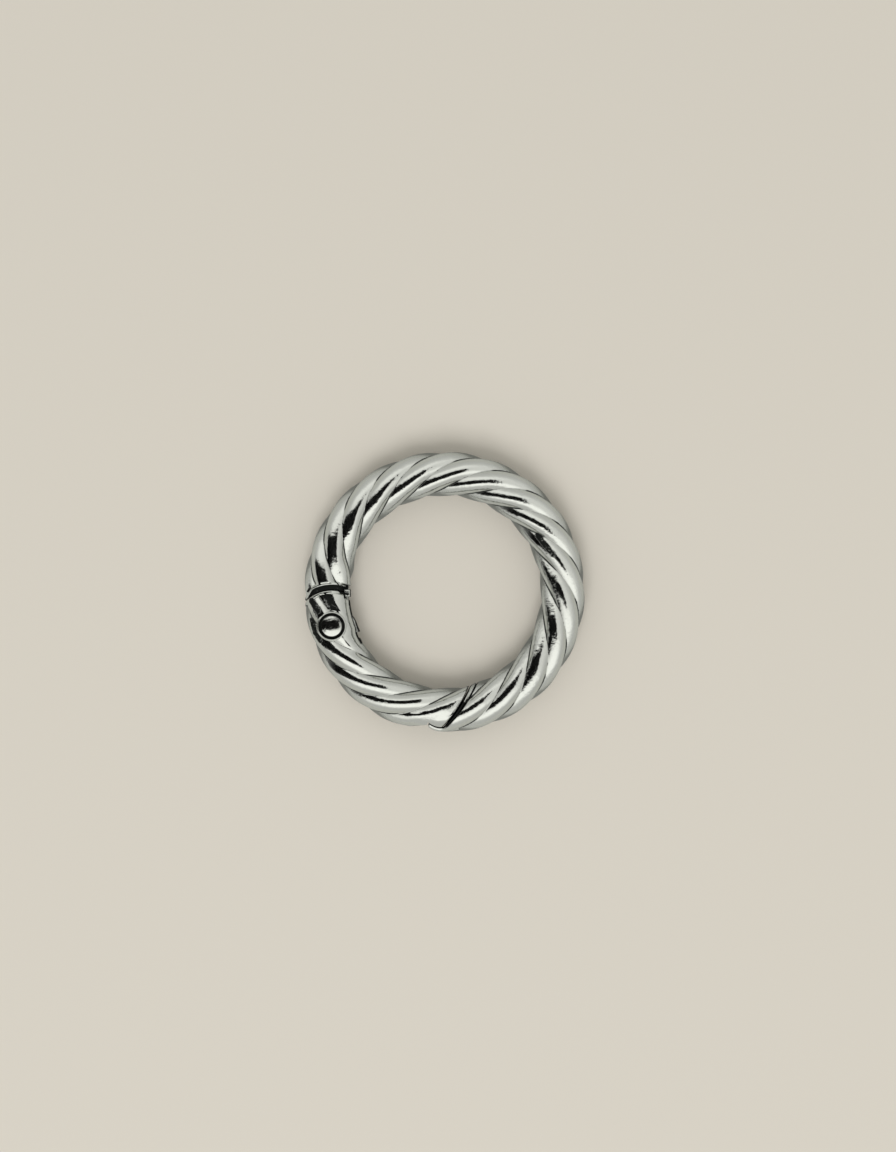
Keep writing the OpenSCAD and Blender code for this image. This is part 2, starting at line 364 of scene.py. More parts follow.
def lipSolid():
    # a flat inner wall and an outer side. At the root the outer side is the section's arc, and towards the
    # tip it becomes a bead: a superellipse whose top faces up. The tip is drawn in to a half circle
    r, p = ringBody, twist
    a = np.linspace(math.radians(r["lipFrom"]), math.radians(r["lipInto"]), r["lipColumns"])[:, None]
    radius = p["sectionRadius"] - r["lipSunk"]
    wall = r["lipInside"] - p["centreRadius"]
    reach = math.acos(wall / radius)
    t = np.linspace(-math.pi / 2, math.pi / 2, r["lipRows"])[None, :]
    onArc = t * 2 / math.pi * reach
    arc = np.stack([radius * np.cos(onArc) - wall, radius * np.sin(onArc)])
    beadUp = np.sign(t) * np.abs(np.sin(t)) ** (1 / r["lipPower"])
    bead = np.stack([r["lipWidth"] * np.cos(t), r["lipHalf"] * beadUp])
    share = smoothStep((np.degrees(a) - r["lipBead"]) / r["lipBeadFade"])
    width, up = bead + share * (arc - bead)
    chord = up[:, -1:] * np.linspace(1, -1, r["lipRows"])[None, 1:-1]
    width, up = np.hstack([width, 0 * chord]), np.hstack([up, chord])
    half = r["lipWidth"] / 2
    fromTip = np.clip((a - a[0]) * r["lipInside"] / half, 0, 1)
    tip = np.sqrt(1 - (1 - fromTip) ** 2)
    q = lipInside(a) + half + (width - half) * tip
    height = r["lipTip"] + (1 - r["lipTip"]) * tip
    points = np.stack([q * np.cos(a), q * np.sin(a), up * height], -1)
    return cappedGrid("lip", points, points[[0, -1]].mean(1))


def prism(name, corners, layers):
    # corners in mm joined by straight edges, stacked in layers from the top down: each layer is a share of
    # the outline's size, at a height
    corners = np.array(corners) * mm
    t = np.linspace(0, 1, 8, endpoint=False)[None, :, None]
    rim = (corners[:, None] * (1 - t) + np.roll(corners, -1, 0)[:, None] * t).reshape(-1, 2)[::-1]
    size, z = (np.array(v)[:, None] for v in zip(*layers))
    flat = rim.mean(0) + (rim - rim.mean(0)) * size[:, :, None]
    points = np.concatenate([flat, (z + 0 * flat[..., 0])[..., None]], -1)
    return cappedGrid(name, points, points[[0, -1]].mean(1))


castRing = ropeBetween("cast_ring", ringBody, ["nose", "tail of the ring"], [1, 1])
directions = np.linspace(0, 2 * math.pi, 720, endpoint=False)
softEdge = [(hinge["tangEdge"] * (1 - math.sin(a)), hinge["tangHalf"] - hinge["tangEdge"] * (1 - math.cos(a)))
            for a in np.linspace(0, math.pi / 2, 8)]
combine(castRing, lipSolid(), "UNION")
combine(castRing, outlineSolid("tang", tangReach(directions), bothFaces(softEdge)), "UNION")
combine(castRing, prism("block", hinge["block"], bothFaces(hinge["blockLayers"])), "UNION")
combine(castRing, turned("hole", bothFaces([(hinge["shank"] + hinge["shankGap"], cutHalf)])), "DIFFERENCE")
print("cast ring made:", len(castRing.data.polygons), "faces")

# the cast gate

gateBody = {
    "grooveAt": 258.0, "grooveStep": 17.7, "wander": ((0, 0), (0, 0)),
    # by the hinge the inner side is plain and squarer, and under the lip the outer side is plain
    "plainSides": [{"radius": 2.83 * mm, "side": -1, "from": 0.1, "over": 0.6, "at": 218.0, "fade": -9.0},
                   {"radius": 2.83 * mm, "side": 1, "from": 0.15, "over": 0.3, "at": 252.0, "fade": 7.0},
                   {"radius": 2.83 * mm, "side": 1, "from": -0.35, "over": 0.8, "at": 266.0, "fade": 4.0}],
    "bulges": [{"by": 0.26 * mm, "side": -1, "from": 0.05, "over": 0.9, "at": 207.0, "fade": -6.0}],
    "columns": 260,
    "first": {"reach": 4.55 * mm, "fillet": 0.16 * mm, "filletSteps": 5, "rim": 0.24 * mm,
              "rimFade": 0.2 * mm, "rimSunk": 0.06 * mm, "run": 1.0 * mm, "runSteps": 16, "capSteps": 6,
              "squareFrom": 1},
    "last": {"reach": 19.1 * mm, "fillet": 0.05 * mm, "filletSteps": 3, "rim": 0.06 * mm,
             "rimFade": 0.15 * mm, "rimSunk": 0.12 * mm, "run": 0.8 * mm, "runSteps": 14, "capSteps": 6,
             "squareFrom": 1},
    # the notch for the lip, and the nose's outer side, filed flat before it: degrees, and radii in mm
    "stepGap": 0.2 * mm, "stepBulge": 0.14 * mm, "stepHalf": 1.0 * mm, "stepOut": 3 * mm,
    "stepFrom": 262.6, "stepInto": 290.0,
    "flat": [(252.5, 17.96), (254.5, 17.72), (257.2, 17.46), (262.5, 17.06)],
    # a sunk pocket between two strands by the tail: its corners, and its layers from the mouth to the floor
    "pocket": [(-16.0, -0.4), (-14.5, -0.35), (-13.25, -2.4), (-14.85, -2.2)],
    "pocketLayers": [(1.25, cutHalf), (1.1, 2.9 * mm), (1.04, 2.38 * mm), (1.0, 2.3 * mm)],
    # black marks painted on the top, in mm: from, to, half width and depth. They are painted reflections of
    # the black card overhead
    "marksAbove": 0.3 * mm,
    "marks": [((-16.9, -1.1), (-16.1, -2.4), 0.36, 0.9), ((-16.6, -2.8), (-16.25, -3.8), 0.36, 0.73),
              ((-16.95, -3.5), (-16.5, -5.2), 0.28, 0.9), ((-16.5, -5.2), (-15.8, -6.2), 0.28, 0.9)],
}


def slotReach(directions):
    # the tang's round, open to the tail, and the sector that the heel sweeps, to where the opened gate
    # stops on it
    h = hinge
    wall = h["tangRadius"] + h["gap"]
    toTail = np.where(np.sin(directions) >= 0, edgeReach(directions, math.pi, wall), 0)
    turnedBack = directions + math.radians(h["openAngle"])
    heel = math.hypot(h["heelReach"], h["tangRadius"]) + h["gap"]
    toHeel = np.where(np.cos(turnedBack) >= 0, np.minimum(edgeReach(turnedBack, -math.pi / 2, wall), heel), 0)
    return np.minimum(np.maximum(np.maximum(toTail, toHeel), wall), h["slotLength"])


def stepSolid():
    # the notch that the lip lies in, and the flat before it: everything outside a radius that changes
    # round the ring. Its wall bulges a little at half height
    g = gateBody
    angles, radii = np.array(g["flat"]).T
    flat, notch = np.linspace(angles[0], angles[-1], 40), np.linspace(g["stepFrom"], g["stepInto"], 80)
    a = np.radians(np.concatenate([flat, notch]))[:, None]
    wall = np.concatenate([np.interp(flat, angles, radii) * mm, lipInside(np.radians(notch)) - g["stepGap"]])
    outwards = np.array([0, g["stepOut"], g["stepOut"], 0, 0, g["stepBulge"], 0])
    up = np.array([cutHalf, cutHalf, -cutHalf, -cutHalf, -g["stepHalf"], 0, g["stepHalf"]])
    q = wall[:, None] + outwards
    points = np.stack([q * np.cos(a), q * np.sin(a), up + 0 * a], -1)[:, ::-1]
    return cappedGrid("step", points, points[[0, -1]].mean(1))


def boreSolid():
    # the spring's blind bore, which runs away from the tang beside the rivet
    h = hinge
    t = np.linspace(0, 2 * math.pi, 48, endpoint=False)[None, :]
    y = np.array([-h["boreEnd"], -h["tangRadius"] + h["gap"] / 2])[:, None]
    x, z = h["springAside"] + h["springBore"] * np.cos(t), -h["springBore"] * np.sin(t)
    points = aboutRivet(x + 0 * y, y + 0 * t, z + 0 * y)
    return cappedGrid("bore", points, aboutRivet(np.full(2, h["springAside"]), y[:, 0], np.zeros(2)))


castGate = ropeBetween("cast_gate", gateBody, ["tail", "nose"], [-1, -1])
combine(castGate, turned("boss", bothFaces(hinge["boss"])), "UNION")
combine(castGate, prism("pocket", gateBody["pocket"], gateBody["pocketLayers"]), "DIFFERENCE")
combine(castGate, prism("notch", hinge["notch"], bothFaces([(1, cutHalf)])), "DIFFERENCE")
slotLayers = bothFaces([(0, hinge["tangHalf"] + hinge["gap"])])
combine(castGate, outlineSolid("slot", slotReach(directions), slotLayers), "DIFFERENCE")
mouth = hinge["seat"] + hinge["seatMouth"]
seat = [(mouth, cutHalf), (mouth, hinge["seatBevelFrom"]), (hinge["seat"], hinge["seatBevelTo"]),
        (hinge["seat"], hinge["seatFloor"])]
combine(castGate, turned("seat", seat), "DIFFERENCE")
combine(castGate, turned("seat", [(r, -z) for r, z in seat[::-1]]), "DIFFERENCE")
combine(castGate, turned("hole", bothFaces([(hinge["shank"], cutHalf)])), "DIFFERENCE")
combine(castGate, boreSolid(), "DIFFERENCE")
combine(castGate, stepSolid(), "DIFFERENCE")
print("cast gate made:", len(castGate.data.polygons), "faces")

# the rivet

rivet = {
    "head": 1.34 * mm, "top": 2.7 * mm, "domeRadius": 4.0 * mm, "edge": 0.1 * mm,
    "firstRow": 0.04 * mm,        # the radius of the dome's innermost row
}


def rivetProfile():
    # a shallow dome, which falls by the square of the radius, then a rounded edge, the head's side and
    # underside, and the shank
    r = rivet
    radii = np.linspace(r["firstRow"], r["head"] - r["edge"], 16)
    dome = [(q, r["top"] - q * q / (2 * r["domeRadius"])) for q in radii]
    f = np.linspace(0, math.pi / 2, 6)[1:]
    edge = [(r["head"] - r["edge"] * (1 - math.sin(a)), dome[-1][1] - r["edge"] * (1 - math.cos(a)))
            for a in f]
    return bothFaces(dome + edge + [(r["head"], hinge["seatFloor"]), (hinge["shank"], hinge["seatFloor"])])


hingeRivet = turned("turned_rivet", rivetProfile())
print("rivet made:", len(hingeRivet.data.polygons), "faces")

# the spring in the gate's bore

spring = {
    "outside": 1.3 * mm, "wire": 0.25 * mm, "length": 5.4 * mm, "turns": 9, "bearsAt": 1.73 * mm,
    "stepsPerTurn": 48, "sides": 16,
    "keep": 0.66,                 # the share of its length that is left when the gate is open
}


def coilPoints():
    # a round wire along a helix, which rises evenly between its first and last turns, and they lie closed
    s, reach = spring, (spring["outside"] - spring["wire"]) / 2
    turn = np.linspace(0, s["turns"], s["turns"] * s["stepsPerTurn"] + 1)[:, None]
    rise = np.interp(turn, [0, 1, s["turns"] - 1, s["turns"]],
                     [0, s["wire"], s["length"] - 2 * s["wire"], s["length"] - s["wire"]])
    t = np.linspace(0, 2 * math.pi, s["sides"], endpoint=False)[None, :]
    r, a = reach + s["wire"] / 2 * np.cos(t), 2 * math.pi * turn
    along = s["bearsAt"] + rise + s["wire"] / 2 * (1 + np.sin(t))
    return aboutRivet(hinge["springAside"] + r * np.cos(a), -along, r * np.sin(a))


coilGrid = coilPoints()
coilSpring = cappedGrid("coil_spring", coilGrid, coilGrid[[0, -1]].mean(1))
coilSpring.data.shade_smooth()
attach(coilSpring, "swing_gate")
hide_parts("gate_spring")
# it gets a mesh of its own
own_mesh(coilSpring)
print("spring made:", len(coilSpring.data.polygons), "faces")

# the dark patina in the grooves and the score line, and painted shade in the seams, the cuts and the gaps
# where parts
# meet, as one number per point: 1 is black, 0 is polished. Angles are in degrees round the ring

patinaAndShade = {
    "line": 0.78,                 # the number at the edge of a black line
    "falls": 0.25 * mm,           # how far from it the number falls by 1
    "groove": 0.09 * mm, "edge": 0.10 * mm, "score": 0.11 * mm,      # half widths of the lines
    "touching": 0.01 * mm,
    # the grooves are less dark on the top, from a height up and from a place across the section
    "crest": 0.26, "crestAbove": 1.75 * mm, "crestRise": 0.3 * mm,
    "crestFrom": -1.0 * mm, "crestOver": 0.5 * mm,
    # what lies this far below the casting's own surface is a cut, which gets patina and painted shade
    "cutFrom": 0.15 * mm, "cutOver": 0.08 * mm,
    # the ring's nose: its seam's painted shadow line is thinner on the section's inside, and the wedge
    # between the seam and the score line is black
    "noseBefore": 300.0, "thin": 0.4, "thinFrom": 13.0 * mm, "thinOver": 2.0 * mm,
    "wedge": 0.97, "wedgeInto": -0.3 * mm, "wedgeFrom": 13.7 * mm, "wedgeOver": 0.7 * mm,
    # the hinge, with painted shade where its parts meet: the shoulder, the block, the heel, the gate's cheeks
    # and its boss
    "shoulder": 0.9,
    "blockInside": 12.95 * mm, "blockFrom": 4.0 * mm, "blockTo": 5.4 * mm, "blockAbove": 1.0 * mm,
    "blockTop": 0.1, "blockSide": 0.9, "blockSideBelow": 1.2 * mm,
    "heelInside": 12.3 * mm, "heelWithin": 4.0 * mm, "heelHalf": 0.8 * mm,
    "cheekInside": 12.62 * mm, "cheekHalf": 1.3 * mm, "cheekBefore": 212.0,
    "boss": 2.0 * mm, "seatEdge": 0.02 * mm,
    "lipBefore": 270.0, "rivet": 0.35,
    "ringFrom": 250.0,            # the ring lies beyond this angle, and goes on past a full turn
}


def lineShade(distance, halfWidth):
    # black on the line, and falling evenly with the distance from its edge
    return np.clip(patinaAndShade["line"] + (halfWidth - np.abs(distance)) / patinaAndShade["falls"], 0, 1)


def markShade(x, y, marks):
    # how dark each point is made by marks along short lines, by its distance from the nearest of them
    dark = np.zeros(len(x))
    for start, to, half, depth in marks:
        a, b = np.array(start) * mm, np.array(to) * mm
        share = np.clip(((x - a[0]) * (b - a)[0] + (y - a[1]) * (b - a)[1]) / ((b - a) @ (b - a)), 0, 1)
        distance = np.hypot(x - a[0] - share * (b - a)[0], y - a[1] - share * (b - a)[1])
        dark = np.maximum(dark, depth - np.maximum(distance - half * mm, 0) / patinaAndShade["falls"])
    return dark


def strandPatinaAndShade(casting, q, z, angle):
    # how dark the grooves' patina is, by the distance from the middle of the nearest, and how far each point
    # lies in a cut, by its depth below the strands, which is painted shade and patina
    f, out = patinaAndShade, q - twist["centreRadius"]
    strand = (np.arctan2(z, out) - twistAngle(casting, angle)) * twist["strands"] / (2 * math.pi)
    across = strand - np.floor(strand) - 0.5
    crest = smoothStep((np.abs(z) - f["crestAbove"]) / f["crestRise"])
    crest = crest * smoothStep((out - f["crestFrom"]) / f["crestOver"])
    groove = lineShade((0.5 - np.abs(across)) * twist["strandWidth"], f["groove"]) - f["crest"] * crest
    own = surfaceRadius(casting, across, strand * 2 * math.pi / twist["strands"], angle)
    return groove, np.clip((own - np.hypot(out, z) - f["cutFrom"]) / f["cutOver"], 0, 1)


def ringPatinaAndShade(q, z, angle, fromRivet):
    # the grooves' patina, and then what the nose, the hollow seat, the block, the heel and the lip change,
    # mostly painted shade
    f, first, last = patinaAndShade, ringBody["first"], ringBody["last"]
    dark, cut = strandPatinaAndShade(ringBody, q, z, angle)
    # the seam's painted shadow line, the score line and the black wedge between them
    atNose = (angle < math.radians(f["noseBefore"])) & (q < first["squareFrom"])
    d, line = fromRivet - first["reach"], scoreLine(first, q)
    thin = f["thin"] + (1 - f["thin"]) * smoothStep((q - f["thinFrom"]) / f["thinOver"])
    lines = np.maximum(lineShade(d, thin * f["edge"]), lineShade(d - line, f["score"]))
    wedge = (d > f["wedgeInto"]) * (d < line) * f["wedge"] * smoothStep((q - f["wedgeFrom"]) / f["wedgeOver"])
    dark = np.maximum(dark, atNose * np.maximum(lines, wedge))
    # the hollow seat's shoulder, in painted shade inside the seam
    inShoulder = np.hypot(q - twist["centreRadius"], z) < last["shoulderRadius"] + f["touching"]
    inShoulder = inShoulder & (fromRivet < last["reach"] + last["shoulder"] + f["touching"])
    dark = np.where(inShoulder, f["shoulder"], dark)
    # painted shade where parts meet: dark sides on the block under a polished top, and black only on the
    # heel's and the lip's walls
    onBlock = (q < f["blockInside"]) & (fromRivet > f["blockFrom"]) & (fromRivet < f["blockTo"])
    onBlock = onBlock & (np.abs(z) > f["blockAbove"])
    dark = np.where(onBlock, np.where(np.abs(z) < f["blockSideBelow"], f["blockSide"], f["blockTop"]), dark)
    onHeel = (q < f["heelInside"]) & (fromRivet < f["heelWithin"])
    dark = np.where(onHeel, np.abs(z) < f["heelHalf"], dark)
    onLip = (angle < math.radians(f["lipBefore"])) & (q > lipInside(angle) - f["touching"])
    dark = np.where(onLip, q < lipInside(angle) + f["touching"], dark)
    return dark, cut * ~(onBlock | onHeel | onLip)


def gatePatinaAndShade(q, z, angle, fromRivet):
    # the grooves, which fade where the sides are plain, and painted shade on the nose's edge, on the cheeks
    # and round the rivet in the boss
    f = patinaAndShade
    dark, cut = strandPatinaAndShade(gateBody, q, z, angle)
    outwards = (q - twist["centreRadius"]) / twist["sectionRadius"]
    plain = sum(sideShare(side, outwards, angle) for side in gateBody["plainSides"])
    dark = np.maximum(dark * (1 - plain), lineShade(gateBody["last"]["reach"] - fromRivet, f["edge"]))
    onCheek = (q < f["cheekInside"]) & (np.abs(z) < f["cheekHalf"]) & (np.degrees(angle) < f["cheekBefore"])
    onBoss = fromRivet < f["boss"]
    dark = np.where(onBoss, 0, np.where(onCheek, 1, dark))
    return dark, np.where(onBoss, fromRivet < hinge["seat"] + f["seatEdge"], cut)


def givePatinaAndShade(piece, casting):
    # works out the patina and painted shade number of every point and puts it into the mesh
    mesh = piece.data
    points = np.empty(len(mesh.vertices) * 3)
    mesh.vertices.foreach_get("co", points)
    x, y, z = points.reshape(-1, 3).T
    if casting is None:
        dark = np.full(len(x), patinaAndShade["rivet"])
    else:
        ring = casting is ringBody
        angle = np.arctan2(y, x) % (2 * math.pi)
        angle = angle + 2 * math.pi * (ring & (angle < math.radians(patinaAndShade["ringFrom"])))
        fromRivet = np.hypot(x - rivetPlace()[0], y - rivetPlace()[1])
        dark, cut = (ringPatinaAndShade if ring else gatePatinaAndShade)(np.hypot(x, y), z, angle, fromRivet)
        marks = markShade(x, y, casting["marks"]) * (z > casting["marksAbove"])
        dark = np.maximum(np.maximum(dark, cut), marks)
    mesh.attributes.new("patinaAndShade", "FLOAT", "POINT").data.foreach_set("value", dark)


sharpAngle = math.radians(40)     # an edge that turns more than this isn't shaded round
for piece, casting, body, node, slot in ((castRing, ringBody, "ring", "ring_body", "ring_silver"),
                                         (castGate, gateBody, "swing_gate", "gate", "gate_silver"),
                                         (hingeRivet, None, "swing_gate", "hinge_rivet", "rivet_silver")):
    givePatinaAndShade(piece, casting)
    piece.data.shade_smooth()
    piece.data.set_sharp_from_angle(angle=sharpAngle)
    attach(piece, body)
    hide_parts(node)
print("finish given to the castings and the rivet")

# materials

silver = {
    "polished": (0.865, 0.88, 0.85), "side": (0.42, 0.43, 0.40), "black": (0.010, 0.011, 0.010),
    "shade": 0.5,                                                   # how much patina and painted shade short of black darken the colour
    "roughness": 0.07, "roughnessVaries": 0.09, "sideRoughness": 0.25, "blackRoughness": 0.5,
    "sideDull": 0.5, "blackDull": 0.8, "specular": 0.12,            # dull is less metallic
    # the heights over which the sides get less polished and darker with painted shade, and the rims get a
    # painted shadow line
    "sideFrom": 2.0 * mm, "sideTo": 0.5 * mm, "sideShare": 0.75,
    "rimFrom": 1.1 * mm, "rimTo": 0.5 * mm, "rimShare": 0.5,
    "blackFrom": 0.70, "blackTo": 0.86, "ragged": 0.36,
    "pitScale": 5200, "rippleScale": 1900, "waveScale": 520, "patchScale": 260,       # per metre
    "pits": 0.010, "ripples": 0.032, "waves": 0.030,                # heights in mm
    "patchFrom": 0.35, "patchTo": 0.65, "patchLeast": 0.25,         # the relief is weaker in patches
    "rougherFrom": 8 * mm, "rougherTo": 12 * mm, "rougher": 2.0,    # one side of the ring is cast rougher
}


class Nodes:
    # short names for the shader nodes that the materials and the sky are built from

    def __init__(self, tree):
        self.tree = tree

    def link(self, value, socket):
        if isinstance(value, bpy.types.NodeSocket):
            self.tree.links.new(value, socket)
        else:
            socket.default_value = value

    def calc(self, operation, *values):
        node = self.tree.nodes.new("ShaderNodeMath")
        node.operation = operation
        for socket, value in zip(node.inputs, values):
            self.link(value, socket)
        return node.outputs[0]

    def ramp(self, value, low, high, start=0.0, end=1.0):
        node = self.tree.nodes.new("ShaderNodeMapRange")
        node.interpolation_type = "SMOOTHSTEP"
        for socket, number in zip(node.inputs, (value, low, high, start, end)):
            self.link(number, socket)
        return node.outputs[0]

    def noise(self, coords, scale, detail):
        node = self.tree.nodes.new("ShaderNodeTexNoise")
        node.inputs["Scale"].default_value, node.inputs["Detail"].default_value = scale, detail
        self.tree.links.new(coords, node.inputs["Vector"])
        return node.outputs[0]

    def mix(self, share, first, second):
        node = self.tree.nodes.new("ShaderNodeMix")
        node.data_type = "RGBA"
        for socket, value in zip((node.inputs[0], node.inputs[6], node.inputs[7]), (share, first, second)):
            self.link(value, socket)
        return node.outputs[2]


def plainMaterial(name, colour, roughness, metallic):
    # one colour and one roughness all over
    material = bpy.data.materials.new(name)
    material.use_nodes = True
    shader = material.node_tree.nodes["Principled BSDF"]
    shader.inputs["Base Color"].default_value = (*colour, 1)
    shader.inputs["Roughness"].default_value = roughness
    shader.inputs["Metallic"].default_value = metallic
    return material


def antiqueSilver(name):
    # polished silver, duller on the sides that a polishing wheel misses and darker there with painted shade,
    # with a painted shadow line at the rims, and black with patina and painted shade in the recesses, with a
    # ragged edge
    s = silver
    material = plainMaterial(name, s["polished"], s["roughness"], 1)
    n = Nodes(material.node_tree)
    shader = material.node_tree.nodes["Principled BSDF"]
    shader.inputs["Specular IOR Level"].default_value = s["specular"]
    coords = n.tree.nodes.new("ShaderNodeTexCoord").outputs["Object"]
    patinaAndShadeAttribute = n.tree.nodes.new("ShaderNodeAttribute")
    patinaAndShadeAttribute.attribute_name = "patinaAndShade"
    pits = n.noise(coords, s["pitScale"], 2.0)
    ripples = n.noise(coords, s["rippleScale"], 3.0)
    waves = n.noise(coords, s["waveScale"], 1.0)
    split = n.tree.nodes.new("ShaderNodeSeparateXYZ")
    n.link(coords, split.inputs[0])
    rougher = n.ramp(split.outputs[0], s["rougherFrom"], s["rougherTo"], 1.0, s["rougher"])
    patches = n.noise(coords, s["patchScale"], 1.0)
    patches = n.ramp(patches, s["patchFrom"], s["patchTo"], s["patchLeast"], 1.0)
    patches = n.calc("MULTIPLY", patches, rougher)
    height = n.calc("ABSOLUTE", split.outputs[2])
    # painted shade: the sides darken towards the middle height, and the rims below turn black as a painted
    # shadow line
    side = n.ramp(height, s["sideTo"], s["sideFrom"], s["sideShare"], 0.0)
    rim = n.ramp(height, s["rimTo"], s["rimFrom"], s["rimShare"], 0.0)
    uneven = n.calc("MULTIPLY", n.calc("SUBTRACT", n.calc("ADD", pits, ripples), 1.0), s["ragged"])
    black = n.ramp(n.calc("ADD", patinaAndShadeAttribute.outputs["Fac"], uneven), s["blackFrom"], s["blackTo"])
    shade = n.calc("MULTIPLY", n.calc("MULTIPLY", patinaAndShadeAttribute.outputs["Fac"], patinaAndShadeAttribute.outputs["Fac"]), s["shade"])
    metal = n.mix(n.calc("MAXIMUM", side, shade), (*s["polished"], 1), (*s["side"], 1))
    metal = n.mix(rim, metal, (*s["black"], 1))
    n.link(n.mix(black, metal, (*s["black"], 1)), shader.inputs["Base Color"])
    blackDull = n.calc("MULTIPLY", black, s["blackDull"])
    dull = n.calc("MAXIMUM", blackDull, n.calc("MAXIMUM", rim, n.calc("MULTIPLY", side, s["sideDull"])))
    n.link(n.calc("SUBTRACT", 1.0, dull), shader.inputs["Metallic"])
    rough = n.calc("ADD", s["roughness"], n.calc("MULTIPLY", ripples, s["roughnessVaries"]))
    rough = n.calc("ADD", rough, n.calc("MULTIPLY", side, s["sideRoughness"]))
    n.link(n.calc("ADD", rough, n.calc("MULTIPLY", black, s["blackRoughness"])), shader.inputs["Roughness"])
    relief = n.calc("ADD", n.calc("MULTIPLY", pits, s["pits"]), n.calc("MULTIPLY", ripples, s["ripples"]))
    relief = n.calc("MULTIPLY", n.calc("ADD", relief, n.calc("MULTIPLY", waves, s["waves"])), patches)
    bump = n.tree.nodes.new("ShaderNodeBump")
    bump.inputs["Distance"].default_value = mm
    n.link(relief, bump.inputs["Height"])
    n.link(bump.outputs[0], shader.inputs["Normal"])
    return material


steel = {
    "dark": (0.38, 0.38, 0.37), "light": (0.62, 0.62, 0.60), "smooth": 0.22, "rough": 0.45,
    "grainScale": 6000, "grainFrom": 0.3, "grainTo": 0.7,
}


def springSteel():
    # drawn wire: a fine grain in its roughness and colour
    material = plainMaterial("spring steel", steel["light"], steel["smooth"], 1)
    n = Nodes(material.node_tree)
    shader = material.node_tree.nodes["Principled BSDF"]
    coords = n.tree.nodes.new("ShaderNodeTexCoord").outputs["Object"]
    grain = n.noise(coords, steel["grainScale"], 3.0)
    n.link(n.mix(grain, (*steel["dark"], 1), (*steel["light"], 1)), shader.inputs["Base Color"])
    rough = n.ramp(grain, steel["grainFrom"], steel["grainTo"], steel["smooth"], steel["rough"])
    n.link(rough, shader.inputs["Roughness"])
    return material


ringSilver = antiqueSilver("antique silver")
for piece, material in ((castRing, ringSilver), (castGate, ringSilver),
                        (hingeRivet, antiqueSilver("rivet silver")), (coilSpring, springSteel())):
    piece.data.materials.clear()
    piece.data.materials.append(material)
print("materials made")

# the stage

stage = {
    "floorColour": (0.680, 0.638, 0.575), "floorReflected": (0.46, 0.46, 0.43), "floorRoughness": 0.9,
    "floorLevel": -2.86 * mm, "floorHalf": 1.0,
    "background": (0.640, 0.600, 0.538),
    "sky": 0.46, "skyColour": (1.0, 1.0, 0.945),
    # patches of the sky that the metal shows: centre in degrees right of and above the zenith, half sizes,
    # radiance, softness
    "patches": [
        {"at": (4, 2), "size": (56, 50), "light": 0.66, "soft": 0.5},
        {"at": (-10, 33), "size": (34, 13), "light": 0.80, "soft": 0.6},
        {"at": (0, -30), "size": (42, 18), "light": 1.0, "soft": 0.6},
    ],
    # a black card over the ring, which only its reflections show: a rounded end, and a fan that widens to
    # the left
    "cardColour": (0.002, 0.002, 0.002),
    "cardHeight": 83 * mm, "cardRight": 29 * mm, "cardTop": 34.5 * mm, "cardBottom": -22.5 * mm,
    "cardCorner": 12 * mm,
    "cardFan": [(-45 * mm, -24 * mm), (-600 * mm, -274 * mm), (-600 * mm, 180 * mm), (-45 * mm, 33 * mm)],
}

floorCorners = np.array([[-1, -1, 0], [1, -1, 0], [1, 1, 0], [-1, 1, 0]]) * stage["floorHalf"]
floor = putMesh("floor", floorCorners + np.array([0, 0, stage["floorLevel"]]), [[0, 1, 2, 3]])
board = plainMaterial("floor", stage["floorColour"], stage["floorRoughness"], 0)
n = Nodes(board.node_tree)
# painted shade: every ray but the camera's sees the floor greyer and darker, so the metal reflects a shaded
# floor
seenStraight = n.tree.nodes.new("ShaderNodeLightPath").outputs["Is Camera Ray"]
floorColour = n.mix(seenStraight, (*stage["floorReflected"], 1), (*stage["floorColour"], 1))
n.link(floorColour, board.node_tree.nodes["Principled BSDF"].inputs["Base Color"])
floor.data.materials.append(board)


def cardOutline():
    # two quarter circles on the right, joined to the fan's points on the left
    g, q = stage, stage["cardCorner"]
    t = np.linspace(0, math.pi / 2, 13)
    lower = np.stack([g["cardRight"] - q + q * np.sin(t), g["cardBottom"] + q - q * np.cos(t)], -1)
    upper = np.stack([g["cardRight"] - q + q * np.cos(t), g["cardTop"] - q + q * np.sin(t)], -1)
    outline = np.vstack([lower, upper, np.array(g["cardFan"])[::-1]])
    return np.column_stack([outline, np.full(len(outline), g["cardHeight"])])


outline = cardOutline()
card = putMesh("black_card", outline, [list(range(len(outline)))])
card.data.materials.append(plainMaterial("black card", stage["cardColour"], 1.0, 0))
card.data.materials[0].node_tree.nodes["Principled BSDF"].inputs["Specular IOR Level"].default_value = 0
card.visible_camera = card.visible_diffuse = card.visible_shadow = card.visible_transmission = False


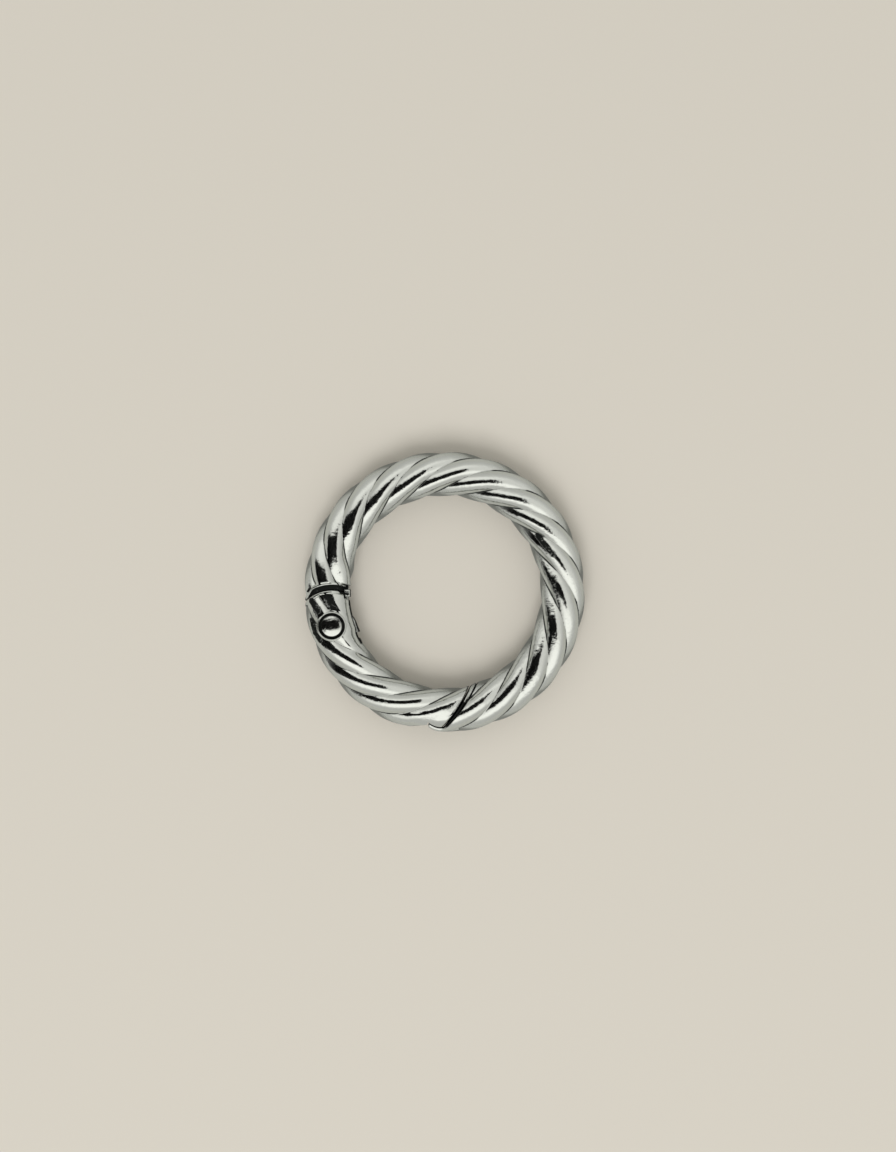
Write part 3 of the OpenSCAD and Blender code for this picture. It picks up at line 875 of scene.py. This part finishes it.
def buildSky():
    # an even level with soft elliptical patches laid over it in turn. The camera sees a plain background
    world = bpy.data.worlds.new("studio")
    bpy.context.scene.world = world
    world.use_nodes = True
    n = Nodes(world.node_tree)
    n.tree.nodes.clear()
    split = n.tree.nodes.new("ShaderNodeSeparateXYZ")
    n.link(n.tree.nodes.new("ShaderNodeTexCoord").outputs["Generated"], split.inputs[0])
    x, y, z = split.outputs
    tilt = n.calc("MULTIPLY", n.calc("ARCCOSINE", z), 180 / math.pi)
    flat = n.calc("SQRT", n.calc("ADD", n.calc("MULTIPLY", x, x), n.calc("MULTIPLY", y, y)))
    flat = n.calc("MAXIMUM", flat, 1e-6)
    right = n.calc("MULTIPLY", n.calc("DIVIDE", x, flat), tilt)
    up = n.calc("MULTIPLY", n.calc("DIVIDE", y, flat), tilt)
    level = stage["sky"]
    for patch in stage["patches"]:
        dx = n.calc("DIVIDE", n.calc("SUBTRACT", right, patch["at"][0]), patch["size"][0])
        dy = n.calc("DIVIDE", n.calc("SUBTRACT", up, patch["at"][1]), patch["size"][1])
        distance = n.calc("SQRT", n.calc("ADD", n.calc("MULTIPLY", dx, dx), n.calc("MULTIPLY", dy, dy)))
        cover = n.ramp(distance, 1 - patch["soft"], 1 + patch["soft"], 1.0, 0.0)
        rest = n.calc("MULTIPLY", n.calc("SUBTRACT", 1, cover), level)
        level = n.calc("ADD", n.calc("MULTIPLY", cover, patch["light"]), rest)
    sky = n.tree.nodes.new("ShaderNodeBackground")
    sky.inputs["Color"].default_value = (*stage["skyColour"], 1)
    n.link(level, sky.inputs["Strength"])
    seen = n.tree.nodes.new("ShaderNodeBackground")
    seen.inputs["Color"].default_value = (*stage["background"], 1)
    path = n.tree.nodes.new("ShaderNodeLightPath")
    mix = n.tree.nodes.new("ShaderNodeMixShader")
    for value, socket in zip((path.outputs["Is Camera Ray"], sky.outputs[0], seen.outputs[0]), mix.inputs):
        n.link(value, socket)
    n.link(mix.outputs[0], n.tree.nodes.new("ShaderNodeOutputWorld").inputs[0])


buildSky()

softBox = {"at": (-0.11, -0.58, 0.94), "size": 0.55, "power": 4.9}
lamp = bpy.data.lights.new("soft box", "AREA")
lamp.shape, lamp.size, lamp.energy = "SQUARE", softBox["size"], softBox["power"]
lampObject = bpy.data.objects.new("soft box", lamp)
lampObject.location = softBox["at"]
lampObject.rotation_mode = "QUATERNION"
lampObject.rotation_quaternion = (-lampObject.location).to_track_quat("-Z", "Y")
lampObject.visible_glossy = False
bpy.context.scene.collection.objects.link(lampObject)

# the camera looks straight down

view = {"lens": 65, "sensor": 36, "offset": (0.44 * mm, 2.05 * mm), "pixelsHigh": 1152, "pixel": 0.1283 * mm}
camera = bpy.data.cameras.new("camera")
camera.lens, camera.sensor_width = view["lens"], view["sensor"]
cameraObject = bpy.data.objects.new("camera", camera)
cameraObject.location = (*view["offset"], view["pixelsHigh"] * view["pixel"] * view["lens"] / view["sensor"])
bpy.context.scene.collection.objects.link(cameraObject)
bpy.context.scene.camera = cameraObject
bpy.context.scene.view_settings.view_transform = "Standard"
print("stage, light and camera made")
